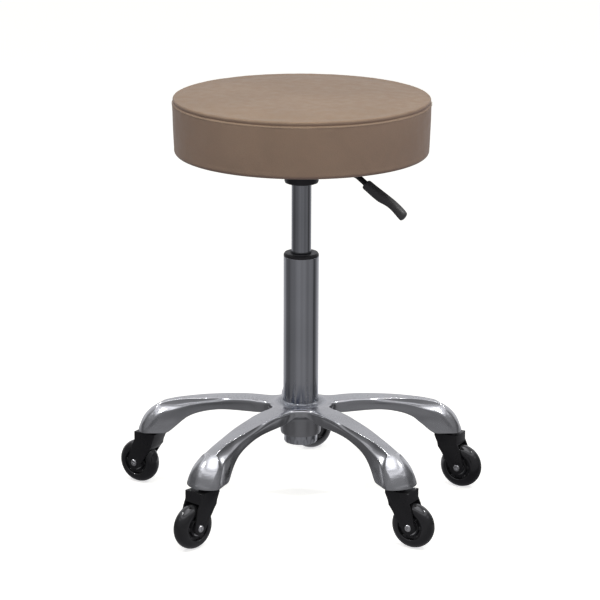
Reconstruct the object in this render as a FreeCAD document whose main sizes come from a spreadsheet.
import FreeCAD, Part
import math
import os
import Sketcher
from FreeCAD import Placement, Rotation, Vector

# Round medical stool on a five-arm star base with twin-bearing casters, a gas
# lift and a side lever under the seat.  Millimetres, +Z up.  The sheet and the
# sketches give heights above the floor; every piece is then placed so that the
# origin is the centre of the seat's top face, on the axis of the column.

doc = FreeCAD.newDocument("stool")
sheet = doc.addObject("Spreadsheet::Sheet", "dims")
aliases = []


class Length:
    """A number and its sheet expression side by side."""

    def __init__(self, value, text):
        self.value = value
        self.text = text

    def __add__(self, other):
        other = as_length(other)
        return Length(self.value + other.value, "(%s + %s)" % (self.text, other.text))

    def __sub__(self, other):
        other = as_length(other)
        return Length(self.value - other.value, "(%s - %s)" % (self.text, other.text))

    def __mul__(self, other):
        other = as_length(other)
        return Length(self.value * other.value, "(%s * %s)" % (self.text, other.text))

    def __truediv__(self, other):
        other = as_length(other)
        return Length(self.value / other.value, "(%s / %s)" % (self.text, other.text))

    def __neg__(self):
        return Length(-self.value, "(0 - %s)" % self.text)


def as_length(x):
    return x if isinstance(x, Length) else Length(float(x), "%.6f" % x)


def dim(alias, value, note):
    """Put one driving dimension in the sheet and return it."""
    aliases.append(alias)
    row = len(aliases)
    sheet.set("A%d" % row, alias)
    sheet.set("B%d" % row, repr(float(value)))
    sheet.set("C%d" % row, note)
    sheet.setAlias("B%d" % row, alias)
    return Length(float(value), "dims.%s" % alias)


# ---------------------------------------------------------------- dimensions
fit_gap = dim("fit_gap", 0.02, "static gap between fitted parts")
run_gap = dim("run_gap", 0.05, "radial running clearance")

# seat
seat_top = dim("seat_top", 590.0, "height of the seat at full extension")
seat_rad = dim("seat_rad", 179.0, "outer radius of the cover")
seat_low_rad = dim("seat_low_rad", 176.6, "cover radius near the lower edge")
seat_low = dim("seat_low", 509.5, "underside of the cover flange")
cover_wall = dim("cover_wall", 1.5, "cover thickness")
cover_lip = dim("cover_lip", 140.0, "inner radius of the folded cover flange")
top_round = dim("top_round", 6.0, "roll of the upper edge")
low_round = dim("low_round", 7.0, "roll of the lower edge")
board_low = dim("board_low", 511.1, "underside of the board")
board_wall = dim("board_wall", 12.0, "board thickness")
board_rad = dim("board_rad", 171.5, "board radius")
dust_low = dim("dust_low", 508.85, "underside of the dust cover")
dust_wall = dim("dust_wall", 0.6, "dust cover thickness")
dust_rad = dim("dust_rad", 156.0, "dust cover radius")
staple_ring = dim("staple_ring", 150.0, "radius of the staple ring")

# mount plate, socket and screws
plate_low = dim("plate_low", 505.82, "underside of the mount plate")
plate_top = dim("plate_top", 508.8, "top of the mount plate")
plate_half = dim("plate_half", 70.0, "half side of the mount plate")
screw_pitch = dim("screw_pitch", 55.0, "half the screw spacing")
screw_rad = dim("screw_rad", 3.0, "plate screw shank radius")
head_high = dim("head_high", 3.6, "drop of the screw heads below the plate")
socket_rad = dim("socket_rad", 24.0, "outside radius of the taper socket")
socket_low = dim("socket_low", 467.0, "lower end of the taper socket")
socket_top = dim("socket_top", 505.8, "upper end of the taper socket")
chamber_low = dim("chamber_low", 488.5, "floor of the lever chamber")
chamber_rad = dim("chamber_rad", 15.0, "radius of the lever chamber")

# lever
lever_az = dim("lever_az", -30.0, "direction of the lever about Z, degrees")
lever_z = dim("lever_z", 498.0, "height of the lever pivot")
pivot_x = dim("pivot_x", 20.0, "distance of the pivot from the column axis")
pivot_rad = dim("pivot_rad", 2.0, "pivot pin radius")
pivot_len = dim("pivot_len", 25.0, "pivot pin length")
lever_rad = dim("lever_rad", 4.0, "lever rod radius")
bend_x = dim("bend_x", 88.0, "lever: outer bend, distance from axis")
bend_z = dim("bend_z", 487.2, "lever: outer bend, height")
lever_end_x = dim("lever_end_x", 129.4, "lever: end inside the grip, distance from axis")
lever_end_z = dim("lever_end_z", 458.7, "lever: end inside the grip, height")
grip_x = dim("grip_x", 102.2, "grip start, distance from axis")
grip_z = dim("grip_z", 477.4, "grip start, height")
grip_slope = dim("grip_slope", 34.5, "grip slope below horizontal, degrees")
grip_len = dim("grip_len", 73.2, "grip length")
grip_half = dim("grip_half", 6.8, "half the grip width")

# gas lift
col_rad = dim("col_rad", 25.0, "outer column radius")
col_bore = dim("col_bore", 23.0, "outer column bore radius")
col_foot = dim("col_foot", 89.0, "lower end of the column")
col_floor = dim("col_floor", 93.0, "top of the column's floor")
col_end_rad = dim("col_end_rad", 23.6, "column radius at its lower end")
col_top = dim("col_top", 362.0, "upper end of the column")
taper_top = dim("taper_top", 148.0, "height where the column taper ends")
cyl_rad = dim("cyl_rad", 14.0, "gas cylinder radius")
cyl_bore = dim("cyl_bore", 12.5, "gas cylinder bore radius")
cyl_low = dim("cyl_low", 210.0, "lower end of the gas cylinder")
cyl_top = dim("cyl_top", 488.0, "upper end of the gas cylinder")
cyl_end_rad = dim("cyl_end_rad", 13.5, "gas cylinder radius at its upper end")
valve_rad = dim("valve_rad", 3.0, "valve pin radius")
rod_rad = dim("rod_rad", 5.0, "piston rod radius")
rod_neck = dim("rod_neck", 4.0, "piston rod neck radius")
shoulder = dim("shoulder", 101.5, "height of the rod's lower shoulder")
rod_step = dim("rod_step", 225.0, "height of the rod's upper shoulder")
thrust_rad = dim("thrust_rad", 12.0, "outer radius of the thrust bearing races")
ball_ring = dim("ball_ring", 9.0, "radius of the ball circle")
ball_z = dim("ball_z", 97.25, "height of the ball centres")
ball_rad = dim("ball_rad", 1.75, "ball radius")

# star base
hub_low = dim("hub_low", 102.0, "lower end of the hub")
hub_rad = dim("hub_rad", 29.0, "hub boss radius")
web_rad = dim("web_rad", 46.0, "radius of the hub's top plate")
arm_phase = dim("arm_phase", 18.66, "direction of the first arm, degrees")
stem_ring = dim("stem_ring", 226.0, "radius of the caster stem circle")
toe_low = dim("toe_low", 84.5, "underside of the arm toe")
stem_rad = dim("stem_rad", 5.5, "caster stem radius")
stem_bore = dim("stem_bore", 6.0, "radius of the stem bore in the toe")

# caster
wheel_rad = dim("wheel_rad", 31.5, "wheel radius")
wheel_half = dim("wheel_half", 12.0, "half the tyre width")
crown = dim("crown", 10.6, "radius of the tyre crown on each side")
trail = dim("trail", 23.2, "offset from stem to axle")
fork_top = dim("fork_top", 80.0, "top of the fork")
fork_half = dim("fork_half", 15.5, "half the fork width")
fork_gap = dim("fork_gap", 13.0, "half the gap between the legs")
fork_arch = dim("fork_arch", 33.5, "radius of the wheel arch in the fork")
axle_rad = dim("axle_rad", 4.0, "axle radius")
core_rad = dim("core_rad", 18.0, "wheel core radius")
race_rad = dim("race_rad", 11.0, "bearing outer radius")
ring_rad = dim("ring_rad", 6.5, "outside radius of the bearing inner rings")
ring_in = dim("ring_in", 4.6, "near face of each bearing from mid wheel")
swings = [dim("swing_%d" % number, angle, "direction of caster %d's trail, degrees" % number)
          for number, angle in enumerate([-28.0, 27.5, 148.0, 226.0, -31.0], 1)]

ARM_COUNT = 5
ARM_STEP = 360.0 / ARM_COUNT

# One six-sided arm section per row:
# reach, top z, top half width, ridge z, ridge half width, lower z, lower half width
ARM_COLUMNS = ("reach", "topz", "topw", "ridgez", "ridgew", "lowz", "loww")
ARM_STATIONS = [
    (26, 148.4, 16.5, 146.4, 17.0, 129.0, 13.0),
    (60, 148.6, 16.5, 146.6, 17.0, 129.0, 13.0),
    (100, 147.0, 16.0, 144.6, 16.9, 128.6, 13.0),
    (120, 144.9, 14.2, 141.0, 16.6, 127.0, 13.0),
    (140, 142.6, 12.4, 136.4, 16.2, 122.5, 13.0),
    (160, 139.7, 10.6, 131.2, 16.0, 115.5, 13.0),
    (170, 138.0, 9.5, 128.0, 16.0, 109.5, 13.5),
    (180, 136.2, 8.6, 124.2, 16.3, 100.0, 14.4),
    (190, 134.0, 8.1, 120.8, 17.2, 90.5, 17.0),
    (200, 131.3, 8.2, 118.0, 18.6, 85.2, 20.6),
    (210, 127.6, 8.7, 115.5, 19.9, 84.5, 23.2),
    (220, 122.5, 9.3, 111.0, 21.0, 84.5, 25.4),
    (228, 116.6, 9.7, 105.0, 21.3, 84.5, 26.4),
    (235, 109.5, 9.0, 97.5, 20.6, 84.5, 23.6),
    (240, 101.5, 7.4, 92.0, 16.2, 84.5, 17.6),
    (243.5, 93.5, 5.4, 88.6, 11.0, 84.5, 12.0),
    (246, 87.2, 3.6, 86.6, 5.4, 84.5, 6.0),
]
arm_dims = [[dim("arm_%s_%d" % (column, number), value, "arm station %d" % number)
             for column, value in zip(ARM_COLUMNS, station)]
            for number, station in enumerate(ARM_STATIONS, 1)]

doc.recompute()

# ------------------------------------------------------------------- helpers
pieces = []
origin_height = {}  # label: height of the piece's own origin above the floor, if not zero


def new_body(label):
    body = doc.addObject("PartDesign::Body", label)
    body.Label = label
    # a body may hold several separate solids; older releases lack the switch
    if hasattr(body, "AllowCompound"):
        body.AllowCompound = True
    pieces.append(body)
    return body


def origin_item(body, role):
    for item in body.Origin.OriginFeatures:
        if item.Role == role:
            return item
    raise RuntimeError(role)


def new_sketch(body, name, plane="XZ_Plane", offset=None):
    sketch = body.newObject("Sketcher::SketchObject", body.Label + "_" + name)
    sketch.AttachmentSupport = [(origin_item(body, plane), "")]
    sketch.MapMode = "FlatFace"
    if offset is not None:
        offset = as_length(offset)
        sketch.AttachmentOffset = Placement(Vector(0, 0, offset.value), Rotation())
        sketch.setExpression("AttachmentOffset.Base.z", offset.text)
    return sketch


def constrain(sketch, kind, *where, value):
    """Add a dimensional constraint and tie it to the sheet."""
    index = sketch.addConstraint(Sketcher.Constraint(kind, *where, value.value))
    if "dims." in value.text:
        sketch.setExpression("Constraints[%d]" % index, value.text)


def place_vertex(sketch, geometry, vertex, x, y):
    # a zero distance becomes a point on the axis: -2 is vertical, -1 horizontal
    for kind, value, axis in (("DistanceX", as_length(x), -2), ("DistanceY", as_length(y), -1)):
        if abs(value.value) < 1e-9:
            sketch.addConstraint(Sketcher.Constraint("PointOnObject", geometry, vertex, axis))
        else:
            constrain(sketch, kind, -1, 1, geometry, vertex, value=value)


def line(sketch, start, end, construction=False):
    ends = [Vector(as_length(x).value, as_length(y).value, 0) for x, y in (start, end)]
    return sketch.addGeometry(Part.LineSegment(*ends), construction)


def polygon(sketch, points):
    """Closed polygon whose corners are all tied to the sheet."""
    count = len(points)
    first = sketch.GeometryCount
    for i in range(count):
        line(sketch, points[i], points[(i + 1) % count])
    for i in range(count):
        sketch.addConstraint(
            Sketcher.Constraint("Coincident", first + i, 2, first + (i + 1) % count, 1))
    for i, (x, y) in enumerate(points):
        place_vertex(sketch, first + i, 1, x, y)
    return sketch


def circle(sketch, x, y, radius):
    x, y, radius = as_length(x), as_length(y), as_length(radius)
    geometry = sketch.addGeometry(
        Part.Circle(Vector(x.value, y.value, 0), Vector(0, 0, 1), radius.value), False)
    constrain(sketch, "Radius", geometry, value=radius)
    place_vertex(sketch, geometry, 3, x, y)
    return sketch


def feature(body, kind, name, sketch):
    result = body.newObject("PartDesign::" + kind, body.Label + "_" + name)
    result.Profile = sketch
    sketch.Visibility = False
    return result


def pad(body, name, sketch, length, both=False, kind="Pad"):
    result = feature(body, kind, name, sketch)
    length = as_length(length)
    result.Length = abs(length.value)
    if "dims." in length.text:
        result.setExpression("Length", length.text)
    if both:
        # the name of this property depends on the release
        if hasattr(result, "SideType"):
            result.SideType = "Symmetric"
        else:
            result.Midplane = True
    return result


def volume(body):
    doc.recompute()
    return body.Shape.Volume if not body.Shape.isNull() else 0.0


def pocket(body, name, sketch, length, both=False, up=False):
    """Blind pocket: it goes against the sketch normal, or along it with up."""
    before = volume(body)
    result = pad(body, name, sketch, length, both, "Pocket")
    if up:
        result.Reversed = True
    if volume(body) >= before - 1e-6:
        raise RuntimeError("pocket cuts nothing: " + result.Name)
    return result


def bore_up(body, name, x, y, radius, start, depth, sketch=""):
    """Round hole along Z, upwards from the height start."""
    profile = new_sketch(body, (sketch or name) + "_sketch", "XY_Plane", start)
    return pocket(body, name, circle(profile, x, y, radius), depth, up=True)


def bore_across(body, name, x, z, radius, length, sketch=""):
    """Round hole along Y, centred on the XZ plane."""
    profile = new_sketch(body, (sketch or name) + "_sketch")
    return pocket(body, name, circle(profile, x, z, radius), length, both=True)


def slot(body, name, low, high, start, depth, plane="XY_Plane", sketch=""):
    """Rectangular cut between two opposite corners, along the plane's normal."""
    profile = new_sketch(body, (sketch or name) + "_sketch", plane, start)
    polygon(profile, [low, (high[0], low[1]), high, (low[0], high[1])])
    return pocket(body, name, profile, depth, up=True)


def revolve(body, name, sketch, axis):
    result = feature(body, "Revolution", name, sketch)
    result.ReferenceAxis = (sketch, [axis])
    result.Angle = 360.0
    return result


def turned(label, *profiles, name="turn"):
    """Body turned about Z from closed (radius, z) profiles."""
    body = new_body(label)
    sketch = new_sketch(body, name + "_sketch")
    for points in profiles:
        polygon(sketch, points)
    revolve(body, name, sketch, "V_Axis")
    return body


def flipped(points):
    return [(x, -z) for x, z in points]


def mirrored(points):
    """Outline symmetric about z = 0, from its upper half listed upwards from the outside."""
    return flipped(points)[::-1] + points


def fillet(body, name, radius, test):
    """Round the tip's edges that pass the test."""
    doc.recompute()
    tip = body.Tip
    names = ["Edge%d" % i for i, edge in enumerate(tip.Shape.Edges, 1) if test(edge)]
    if not names:
        raise RuntimeError("no edge for " + name)
    radius = as_length(radius)
    result = body.newObject("PartDesign::Fillet", body.Label + "_" + name)
    result.Base = (tip, names)
    result.Radius = radius.value
    if "dims." in radius.text:
        result.setExpression("Radius", radius.text)


def loft(body, kind, name, sections):
    result = feature(body, kind, name, sections[0])
    result.Sections = sections[1:]
    result.Ruled = True
    for sketch in sections:
        sketch.Visibility = False
    return result


def polar(body, name, originals, count):
    doc.recompute()
    pattern = body.newObject("PartDesign::PolarPattern", body.Label + "_" + name)
    pattern.Originals = originals
    pattern.Axis = (origin_item(body, "Z_Axis"), [""])
    pattern.Angle = 360.0
    pattern.Occurrences = count
    body.Tip = pattern
    doc.recompute()


def about_z(angle):
    return Rotation(Vector(0, 0, 1), angle.value)


def direction(radius, angle):
    """X and y of a point at a radius and an angle in degrees."""
    turn = math.radians(angle.value)
    return (Length(radius.value * math.cos(turn), "%s * cos(%s)" % (radius.text, angle.text)),
            Length(radius.value * math.sin(turn), "%s * sin(%s)" % (radius.text, angle.text)))


def place(body, x, y, rotation):
    body.Placement = Placement(Vector(x.value, y.value, 0), rotation)
    body.setExpression("Placement.Base.x", x.text)
    body.setExpression("Placement.Base.y", y.text)


def turn_to_arms(body):
    body.Placement = Placement(Vector(0, 0, 0), about_z(arm_phase))
    body.setExpression("Placement.Rotation.Angle", arm_phase.text)


def turn_to_lever(body):
    # a positive angle with the axis pointing down keeps the direction
    body.Placement = Placement(Vector(0, 0, 0), Rotation(Vector(0, 0, -1), -lever_az.value))
    body.setExpression("Placement.Rotation.Angle", "0 - dims.lever_az")


# ----------------------------------------------------------------- star base
def star_base():
    """Hub and five hollow ribbed arms, the first built along X."""
    taper = (col_rad - col_end_rad) / (taper_top - col_foot)
    bore_low = col_end_rad + taper * (hub_low - col_foot) + fit_gap
    lip_top = taper_top + 2.6
    base = turned("star_base", [
        (bore_low, hub_low), (hub_rad, hub_low), (hub_rad, 129.0), (hub_rad + 2.5, 133.5),
        (web_rad, 139.5), (web_rad, taper_top - 1.8), (web_rad - 1.6, taper_top - 0.4),
        (col_rad + 6.0, taper_top), (col_rad + 2.8, taper_top + 0.8), (col_rad + 1.6, lip_top),
        (col_rad + fit_gap, lip_top), (col_rad + fit_gap, taper_top)], name="hub")

    sections = []
    for i, station in enumerate(arm_dims):
        reach, top_z, top_half, ridge_z, ridge_half, low_z, low_half = station
        sections.append(polygon(new_sketch(base, "station_%d" % i, "YZ_Plane", reach), [
            (-low_half, low_z), (low_half, low_z), (ridge_half, ridge_z),
            (top_half, top_z), (-top_half, top_z), (-ridge_half, ridge_z)]))
    arm = loft(base, "AdditiveLoft", "arm", sections)

    # open channel under the arm
    sections = []
    for i in range(1, 8):
        reach, top_z, _, _, _, low_z, low_half = arm_dims[i]
        if i == 1:
            reach = reach - 14.0
        low_side, top_side = low_half - 4.0, low_half - 5.0
        sections.append(polygon(new_sketch(base, "channel_%d" % i, "YZ_Plane", reach), [
            (-low_side, low_z - 6.0), (low_side, low_z - 6.0),
            (top_side, top_z - 6.0), (-top_side, top_z - 6.0)]))
    channel = loft(base, "SubtractiveLoft", "channel", sections)

    # cross ribs in the channel: index of the station that sizes the rib, x
    ribs = []
    for k, (i, x) in enumerate(((2, 84.0), (3, 116.0), (4, 148.0))):
        _, top_z, _, _, _, low_z, low_half = arm_dims[i]
        low_side, top_side = low_half - 3.5, low_half - 4.5
        sketch = polygon(new_sketch(base, "rib_%d_sketch" % k, "YZ_Plane", x), [
            (-low_side, low_z + 3.0), (low_side, low_z + 3.0),
            (top_side, top_z - 6.5), (-top_side, top_z - 6.5)])
        ribs.append(pad(base, "rib_%d" % k, sketch, 3.0))

    bore = bore_up(base, "stem_bore", stem_ring, 0.0, stem_bore, toe_low, 26.5)
    polar(base, "arms", [arm, channel] + ribs + [bore], ARM_COUNT)
    turn_to_arms(base)


def turned_on_stem(label, points):
    """Body turned about the stem axis on X, from (distance from that axis, z) points."""
    body = new_body(label)
    sketch = polygon(new_sketch(body, "profile"), [(stem_ring + x, z) for x, z in points])
    axis = line(sketch, (stem_ring, 0.0), (stem_ring, 50.0), construction=True)
    place_vertex(sketch, axis, 1, stem_ring, 0.0)
    sketch.addConstraint(Sketcher.Constraint("Vertical", axis))
    return body, revolve(body, "turn", sketch, "Axis0")


def caster_stems():
    collar_top = toe_low - 0.05
    stems, turn = turned_on_stem("caster_stems", [
        (0.0, 62.6), (6.0, 62.6), (6.0, 64.6), (5.0, 65.0), (5.0, 80.4), (8.6, 80.4),
        (8.6, collar_top), (stem_rad, collar_top), (stem_rad, 97.0), (5.1, 97.0), (5.1, 101.0),
        (stem_rad, 101.0), (stem_rad, 108.6), (stem_rad - 1.2, 110.0), (0.0, 110.0)])
    polar(stems, "five", [turn], ARM_COUNT)
    turn_to_arms(stems)


def stem_grip_rings():
    """Split rings in the stem grooves."""
    rings, turn = turned_on_stem("stem_grip_rings", [
        (5.2, 97.1), (5.95, 97.1), (5.95, 100.9), (5.2, 100.9)])
    split = slot(rings, "split", (stem_ring + 3.0, -1.0), (stem_ring + 7.0, 1.0), 96.0, 6.0)
    polar(rings, "five", [turn, split], ARM_COUNT)
    turn_to_arms(rings)


# ------------------------------------------------------------------ gas lift
def outer_column():
    column = turned("outer_column", [
        (6.0, col_foot), (col_end_rad, col_foot), (col_rad, taper_top), (col_rad, col_top),
        (col_bore, col_top), (col_bore, 160.0), (21.5, 150.0), (21.5, col_floor),
        (6.0, col_floor)])
    crimp = slot(column, "crimp", (22.7, -1.4), (26.0, 1.4), col_foot, 8.0)
    polar(column, "crimps", [crimp], 12)


def guide_bush():
    inside, outside = cyl_rad + run_gap, col_bore - 0.03
    turned("guide_bush", [
        (inside, 262.0), (outside, 262.0), (outside, col_top + fit_gap),
        (col_rad - 0.1, col_top + fit_gap), (col_rad - 0.1, col_top + 4.0),
        (col_rad - 1.1, col_top + 5.0), (inside, col_top + 5.0)])


def bearing_race(label, bore, low, high):
    turned(label, [(bore, low), (thrust_rad, low), (thrust_rad, high), (bore, high)])


def bearing_cage():
    cage = turned("bearing_cage", [(6.2, 96.3), (11.8, 96.3), (11.8, 98.2), (6.2, 98.2)])
    hole = bore_up(cage, "ball_hole", ball_ring, 0.0, 1.82, 96.0, 3.0)
    polar(cage, "ball_holes", [hole], 8)


def bearing_balls():
    """Half circle turned about its own chord, then patterned."""
    balls = new_body("bearing_balls")
    sketch = new_sketch(balls, "arc_sketch")
    centre = Vector(ball_ring.value, ball_z.value, 0)
    whole = Part.Circle(centre, Vector(0, 0, 1), ball_rad.value)
    arc = sketch.addGeometry(Part.ArcOfCircle(whole, -math.pi / 2, math.pi / 2), False)
    chord = line(sketch, (ball_ring, ball_z + ball_rad), (ball_ring, ball_z - ball_rad))
    sketch.addConstraint(Sketcher.Constraint("Coincident", arc, 2, chord, 1))
    sketch.addConstraint(Sketcher.Constraint("Coincident", arc, 1, chord, 2))
    sketch.addConstraint(Sketcher.Constraint("Vertical", chord))
    constrain(sketch, "Radius", arc, value=ball_rad)
    place_vertex(sketch, arc, 3, ball_ring, ball_z)
    sketch.addConstraint(Sketcher.Constraint("PointOnObject", arc, 3, chord))
    polar(balls, "ring", [revolve(balls, "ball", sketch, "Edge2")], 8)


def thrust_bearing():
    bearing_race("bearing_lower_race", 7.0, col_floor + fit_gap, ball_z - ball_rad - fit_gap)
    bearing_cage()
    bearing_balls()
    bearing_race("bearing_upper_race", rod_neck + fit_gap,
                 ball_z + ball_rad + fit_gap, shoulder - fit_gap)


def buffer():
    inside = rod_rad + fit_gap
    turned("buffer", [
        (inside, 101.6), (11.4, 101.6), (11.4, 104.5), (10.2, 106.0), (11.4, 107.5),
        (11.4, 111.5), (10.0, 113.0), (inside, 113.0)])


def piston_rod():
    """Stepped rod with a clip groove near its lower end."""
    turned("piston_rod", [
        (0.0, 86.0), (rod_neck, 86.0), (rod_neck, 87.4), (3.3, 87.4), (3.3, 88.6),
        (rod_neck, 88.6), (rod_neck, shoulder), (rod_rad, shoulder), (rod_rad, rod_step),
        (rod_neck, rod_step), (rod_neck, 236.5), (0.0, 236.5)])


def retaining_clip():
    clip = turned("retaining_clip", [(3.35, 87.5), (8.6, 87.5), (8.6, 88.5), (3.35, 88.5)])
    slot(clip, "mouth", (0.5, -2.0), (9.5, 2.0), 87.0, 3.0)


def piston():
    """Grooved head and the seal in its groove."""
    inside, outside, low = rod_neck + fit_gap, cyl_bore - run_gap, rod_step + 0.05
    turned("piston_head", [
        (inside, low), (outside, low), (outside, 228.5), (10.9, 228.5), (10.9, 231.5),
        (outside, 231.5), (outside, 235.0), (inside, 235.0)])
    outside = cyl_bore - fit_gap
    turned("piston_seal", [(10.95, 228.6), (outside, 228.6), (outside, 231.4), (10.95, 231.4)])


def gas_cylinder():
    turned("gas_cylinder", [
        (cyl_bore, cyl_low), (cyl_rad, cyl_low), (cyl_rad, socket_low),
        (cyl_end_rad, cyl_top), (cyl_bore, cyl_top)])


def cylinder_plug():
    inside, outside, top = rod_rad + run_gap, cyl_bore - fit_gap, cyl_low + 12.0
    turned("cylinder_plug", [(inside, cyl_low), (outside, cyl_low), (outside, top), (inside, top)])


def valve():
    inside, outside = valve_rad + run_gap, cyl_bore - fit_gap
    turned("valve_block", [
        (inside, 470.0), (outside, 470.0), (outside, cyl_top), (inside, cyl_top)])
    turned("valve_pin", [
        (0.0, 464.0), (valve_rad, 464.0), (valve_rad, 492.6), (2.0, 493.8), (0.0, 493.8)])


# ------------------------------------------------------------ socket, lever
def taper_socket():
    """Socket with the lever chamber on top, a slot for the lever and a pin hole."""
    socket = turned("taper_socket", [
        (cyl_rad + fit_gap, socket_low), (socket_rad - 3.0, socket_low),
        (socket_rad - 0.9, socket_low + 0.9), (socket_rad, socket_low + 3.0),
        (socket_rad, socket_top), (chamber_rad, socket_top), (chamber_rad, chamber_low),
        (cyl_end_rad + fit_gap, chamber_low), (cyl_end_rad + fit_gap, cyl_top)])
    slot(socket, "slot", (-4.4, 492.0), (4.4, 504.0), 8.0, 18.0, plane="YZ_Plane")
    bore_across(socket, "pin_hole", pivot_x, lever_z, pivot_rad + fit_gap, pivot_len + 0.2,
                sketch="pin")
    turn_to_lever(socket)


def lever_pivot_pin():
    pin = new_body("lever_pivot_pin")
    sketch = circle(new_sketch(pin, "shank_sketch"), pivot_x, lever_z, pivot_rad)
    pad(pin, "shank", sketch, pivot_len, both=True)
    turn_to_lever(pin)


def lever_rod():
    """Round bar swept along three straight runs, with a ball end on the column axis."""
    rod = new_body("lever_rod")
    path = new_sketch(rod, "path")
    points = [(0.0, lever_z), (pivot_x + 5.0, lever_z), (bend_x, bend_z),
              (lever_end_x, lever_end_z)]
    for i in range(3):
        line(path, points[i], points[i + 1])
    for i in range(2):
        path.addConstraint(Sketcher.Constraint("Coincident", i, 2, i + 1, 1))
    for i in range(3):
        place_vertex(path, i, 1, *points[i])
    place_vertex(path, 2, 2, *points[3])
    path.Visibility = False
    pipe = rod.newObject("PartDesign::AdditivePipe", "lever_rod_pipe")
    pipe.Profile = circle(new_sketch(rod, "section", "YZ_Plane"), 0.0, lever_z, lever_rad)
    pipe.Spine = (path, ["Edge1", "Edge2", "Edge3"])
    pipe.Transition = "Right corner"
    doc.recompute()

    nose = rod.newObject("PartDesign::AdditiveSphere", "lever_rod_nose")
    nose.Radius = lever_rad.value
    nose.setExpression("Radius", lever_rad.text)
    nose.AttachmentSupport = [(origin_item(rod, "XY_Plane"), "")]
    nose.MapMode = "FlatFace"
    nose.AttachmentOffset = Placement(Vector(0, 0, lever_z.value), Rotation())
    nose.setExpression("AttachmentOffset.Base.z", lever_z.text)
    doc.recompute()
    bore_across(rod, "pivot_hole", pivot_x, lever_z, pivot_rad + run_gap, 12.0, sketch="pivot")
    turn_to_lever(rod)


def lever_grip():
    """Paddle with a finger recess and a slanted tip, built along Z from its start."""
    grip = new_body("lever_grip")
    sketch = polygon(new_sketch(grip, "side_sketch"), [
        (-5.6, 0.0), (-7.9, 24.0), (-9.1, 44.0), (-8.7, 60.0), (-6.6, grip_len - 2.0),
        (-0.5, grip_len), (4.4, grip_len - 0.6), (3.6, 62.0), (2.5, 51.0), (3.6, 41.0),
        (6.6, 31.0), (7.1, 14.0), (6.4, 0.0)])
    pad(grip, "paddle", sketch, grip_half * 2.0, both=True)
    # the outlines of both side faces
    fillet(grip, "round", 2.0, lambda edge: all(
        abs(abs(vertex.Y) - grip_half.value) < 1e-6 for vertex in edge.Vertexes))
    doc.recompute()
    bore_up(grip, "bore", 0.0, 0.0, lever_rad + fit_gap, 0.0, 34.5)
    slope = Rotation(Vector(0, 1, 0), 90.0 + grip_slope.value)
    place(grip, *direction(grip_x, lever_az), about_z(lever_az).multiply(slope))
    origin_height["lever_grip"] = grip_z


# -------------------------------------------------------- mount plate, screws
def screw_hole(body, name, radius, start, depth):
    return bore_up(body, name, screw_pitch, screw_pitch, radius, start, depth)


def mount_plate():
    """Square sheet with blunted corners, an edge flange on each side and four holes."""
    plate = new_body("mount_plate")
    half, corner, side = plate_half, plate_half - 3.5, plate_half - 12.0
    sketch = polygon(new_sketch(plate, "outline", "XY_Plane", plate_low), [
        (side, -half), (corner, -corner), (half, -side),
        (half, side), (corner, corner), (side, half),
        (-side, half), (-corner, corner), (-half, side),
        (-half, -side), (-corner, -corner), (-side, -half)])
    pad(plate, "sheet", sketch, plate_top - plate_low)
    end, inside = plate_half - 14.0, plate_half - 3.0
    sketch = polygon(new_sketch(plate, "flange_sketch", "XY_Plane", plate_low - 4.0), [
        (-end, inside), (end, inside), (end, half), (-end, half)])
    polar(plate, "flanges", [pad(plate, "flange", sketch, 4.5)], 4)
    hole = screw_hole(plate, "hole", 3.3, plate_low - 1.0, 6.0)
    polar(plate, "holes", [hole], 4)


def four_fasteners(label, discs, bore):
    """Bored stack of discs at the four screw places; discs and bore: (radius, low, high)."""
    body = new_body(label)
    features = []
    for k, (radius, low, high) in enumerate(discs):
        sketch = circle(new_sketch(body, "disc_%d_sketch" % k, "XY_Plane", low),
                        screw_pitch, screw_pitch, radius)
        features.append(pad(body, "disc_%d" % k, sketch, as_length(high) - low))
    radius, low, high = bore
    features.append(screw_hole(body, "bore", radius, low, as_length(high) - low))
    polar(body, "four", features, 4)


def fasteners():
    head_low = plate_low - head_high
    four_fasteners("plate_screws",
                   [(6.0, head_low, plate_low - 0.02), (screw_rad, plate_low - 0.1, 521.5)],
                   (2.2, head_low, plate_low - 1.4))
    four_fasteners("tee_nuts", [(4.0, 513.0, 522.9), (9.0, 521.65, 523.05)],
                   (screw_rad + fit_gap, 512.0, 524.0))


# ---------------------------------------------------------------------- seat
def seat_board():
    top = board_low + board_wall
    board = turned("seat_board", [
        (0.0, board_low), (board_rad - 4.0, board_low), (board_rad, board_low + 4.0),
        (board_rad, top), (0.0, top)])
    hole = screw_hole(board, "hole", 4.05, board_low - 1.0, 14.0)
    counterbore = screw_hole(board, "cbore", 9.1, 521.6, 3.0)
    polar(board, "holes", [hole, counterbore], 4)


def seat_foam():
    low = board_low + board_wall + 0.05
    top = seat_top - cover_wall - 0.1
    inside = seat_rad - cover_wall
    turned("seat_foam", [
        (0.0, low), (seat_low_rad - cover_wall - 0.6, low),
        (inside - 0.15, seat_top - top_round - 1.0), (inside - 1.9, seat_top - 3.4),
        (inside - 5.2, top), (0.0, top)])


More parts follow.
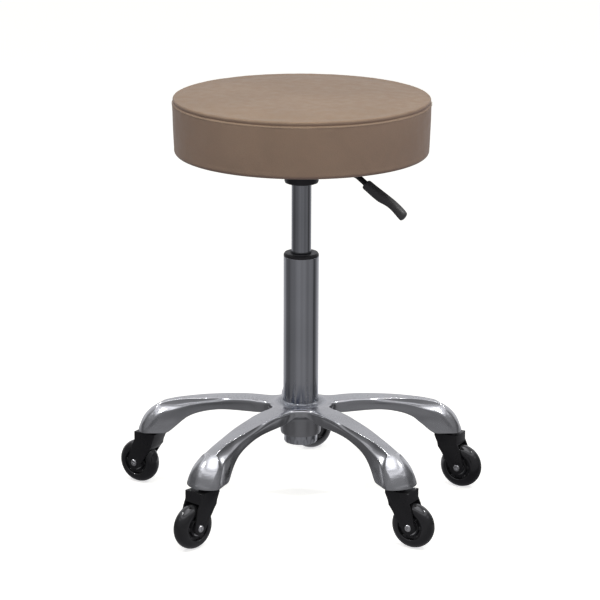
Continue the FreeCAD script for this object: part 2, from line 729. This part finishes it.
def seat_cover():
    turned("seat_cover", [
        # outer face, from the lower lip to the centre of the top
        (cover_lip, seat_low), (seat_low_rad - low_round, seat_low),
        (seat_low_rad - 2.2, seat_low + 2.0), (seat_low_rad, seat_low + low_round),
        (seat_rad, seat_top - top_round), (seat_rad - 1.75, seat_top - 1.75),
        (seat_rad - top_round, seat_top), (0.0, seat_top),
        # inner face, back to the lip
        (0.0, seat_top - cover_wall), (seat_rad - top_round - 0.6, seat_top - cover_wall),
        (seat_rad - 2.95, seat_top - 2.85), (seat_rad - cover_wall, seat_top - top_round - 0.4),
        (seat_low_rad - cover_wall, seat_low + low_round + 0.5),
        (seat_low_rad - 3.4, seat_low + 3.1),
        (seat_low_rad - low_round - 0.5, seat_low + cover_wall),
        (cover_lip, seat_low + cover_wall)])


def dust_cover():
    top = dust_low + dust_wall
    dust = turned("dust_cover", [(0.0, dust_low), (dust_rad, dust_low), (dust_rad, top), (0.0, top)])
    polar(dust, "holes", [screw_hole(dust, "hole", 3.6, dust_low - 1.0, 3.0)], 4)


def cover_staples():
    """Thirty staples, crown down, legs up into the board."""
    staples = new_body("cover_staples")
    crown_low, crown_top, leg_top = dust_low - 0.7, dust_low - 0.05, dust_low + 7.5
    sketch = polygon(new_sketch(staples, "staple_sketch", "YZ_Plane", staple_ring), [
        (-5.0, crown_low), (5.0, crown_low), (5.0, leg_top), (4.2, leg_top),
        (4.2, crown_top), (-4.2, crown_top), (-4.2, leg_top), (-5.0, leg_top)])
    polar(staples, "ring", [pad(staples, "staple", sketch, 1.0)], 30)


# ------------------------------------------------------------------- casters
# The fork is built with its stem on Z and the axle at x = trail.  Wheel pieces
# are turned about Z with mid wheel at z = 0, then laid along the axle.
def caster_fork(prefix):
    fork = new_body(prefix + "fork")
    sketch = polygon(new_sketch(fork, "side_sketch"), [
        (-13.5, fork_top), (-13.5, 76.5), (-8.8, 66.0), (-7.6, 60.0), (-2.9, 54.0),
        (trail - 9.2, 27.5), (trail - 6.2, 23.7), (trail - 2.2, 21.7),
        (trail + 2.2, 21.7), (trail + 6.2, 23.7), (trail + 9.2, 27.5),
        (trail + 10.0, 32.5), (trail + 6.5, 47.5), (trail + 2.4, 60.0),
        (22.0, 68.0), (22.0, fork_top)])
    width = fork_half * 2.0
    pad(fork, "block", sketch, width, both=True)
    bore_across(fork, "arch", trail, wheel_rad, fork_arch, fork_gap * 2.0)
    bore_across(fork, "axle_hole", trail, wheel_rad, axle_rad + fit_gap, width + 2.0,
                sketch="axle")
    bore_up(fork, "stem_hole", 0.0, 0.0, 5.05, 64.0, 18.0, sketch="stem")
    bore_up(fork, "rivet_room", 0.0, 0.0, 6.5, 60.0, 5.3, sketch="rivet")
    slot(fork, "punch_way", (-2.6, -6.4), (8.0, 6.4), 55.5, 4.6, sketch="punch")
    return fork


def caster_axle(prefix):
    """Headed at both ends, with a hexagonal recess in each head."""
    head_low, head_top = fork_half + 0.04, fork_half + 1.8
    axle = turned(prefix + "axle", mirrored([
        (axle_rad, head_low), (4.8, head_low), (4.8, fork_half + 1.1),
        (4.1, head_top), (0.0, head_top)]))
    corners = [math.radians(60 * i + 30) for i in range(6)]
    hexagon = [(2.5 * math.cos(angle), 2.5 * math.sin(angle)) for angle in corners]
    floor = fork_half - 1.2
    for name, start, up in (("hex_a", floor, True), ("hex_b", -floor, False)):
        sketch = polygon(new_sketch(axle, name + "_sketch", "XY_Plane", start), hexagon)
        pocket(axle, name, sketch, 4.0, up=up)
    return axle


def caster_inner_rings(prefix):
    """Two bearing inner rings and the sleeve between them."""
    inside = axle_rad + fit_gap
    ring = [(inside, ring_in), (ring_rad, ring_in), (ring_rad, 11.9), (6.0, 12.9), (inside, 12.9)]
    sleeve = mirrored([(5.8, 4.5), (inside, 4.5)])
    return turned(prefix + "inner_rings", ring, flipped(ring), sleeve)


def caster_outer_rings(prefix):
    inside = ring_rad + run_gap
    ring = [(inside, ring_in), (race_rad, ring_in), (race_rad, 11.4), (inside, 11.4)]
    return turned(prefix + "outer_rings", ring, flipped(ring))


def caster_hub(prefix):
    seat = race_rad + fit_gap
    return turned(prefix + "hub", mirrored([
        (core_rad, 9.0), (13.6, 9.6), (12.8, 11.5), (seat, 11.5), (seat, 4.5), (9.6, 4.5)]))


def caster_tyre(prefix):
    tyre = turned(prefix + "tyre", mirrored([
        (wheel_rad, wheel_half), (core_rad + 1.0, wheel_half),
        (core_rad + fit_gap, wheel_half - 1.0)]))
    for name, height in (("edge_a", wheel_half.value), ("edge_b", -wheel_half.value)):
        fillet(tyre, name, crown, lambda edge: (
            isinstance(edge.Curve, Part.Circle)
            and abs(edge.Curve.Radius - wheel_rad.value) < 0.02
            and abs(edge.Curve.Center.z - height) < 0.02))
    return tyre


def caster(index):
    prefix = "caster_%d_" % (index + 1)
    swing = swings[index]
    stem_x, stem_y = direction(stem_ring, arm_phase + ARM_STEP * index)
    trail_x, trail_y = direction(trail, swing)
    place(caster_fork(prefix), stem_x, stem_y, about_z(swing))
    for build in (caster_axle, caster_inner_rings, caster_outer_rings, caster_hub, caster_tyre):
        body = build(prefix)
        # the turned axis lies along the axle, square to the trail
        along_axle = about_z(swing).multiply(Rotation(Vector(1, 0, 0), 90.0))
        place(body, stem_x + trail_x, stem_y + trail_y, along_axle)
        origin_height[body.Label] = wheel_rad


# --------------------------------------------------------------------- build
for build_piece in (
        star_base, caster_stems, stem_grip_rings,
        outer_column, guide_bush, thrust_bearing, buffer, piston_rod, retaining_clip, piston,
        gas_cylinder, cylinder_plug, valve,
        taper_socket, lever_pivot_pin, lever_rod, lever_grip, mount_plate, fasteners,
        seat_board, seat_foam, seat_cover, dust_cover, cover_staples):
    build_piece()
for arm_index in range(ARM_COUNT):
    caster(arm_index)

# lower every piece so that the origin is at the seat's top
for piece in pieces:
    height = as_length(origin_height.get(piece.Label, 0.0)) - seat_top
    placement = piece.Placement
    placement.Base = Vector(placement.Base.x, placement.Base.y, height.value)
    piece.Placement = placement
    piece.setExpression("Placement.Base.z", height.text)

# --------------------------------------------------------------------- write
doc.recompute()
bad = [item.Name for item in doc.Objects if "Invalid" in item.State or "Error" in item.State]
for piece in pieces:
    if piece.Shape.isNull() or not piece.Shape.isValid() or piece.Shape.Volume <= 0:
        bad.append(piece.Label)
if bad:
    raise RuntimeError("failed objects: %s" % bad)
os.makedirs("parts", exist_ok=True)
for piece in pieces:
    piece.Shape.exportStep(os.path.join("parts", piece.Label + ".step"))
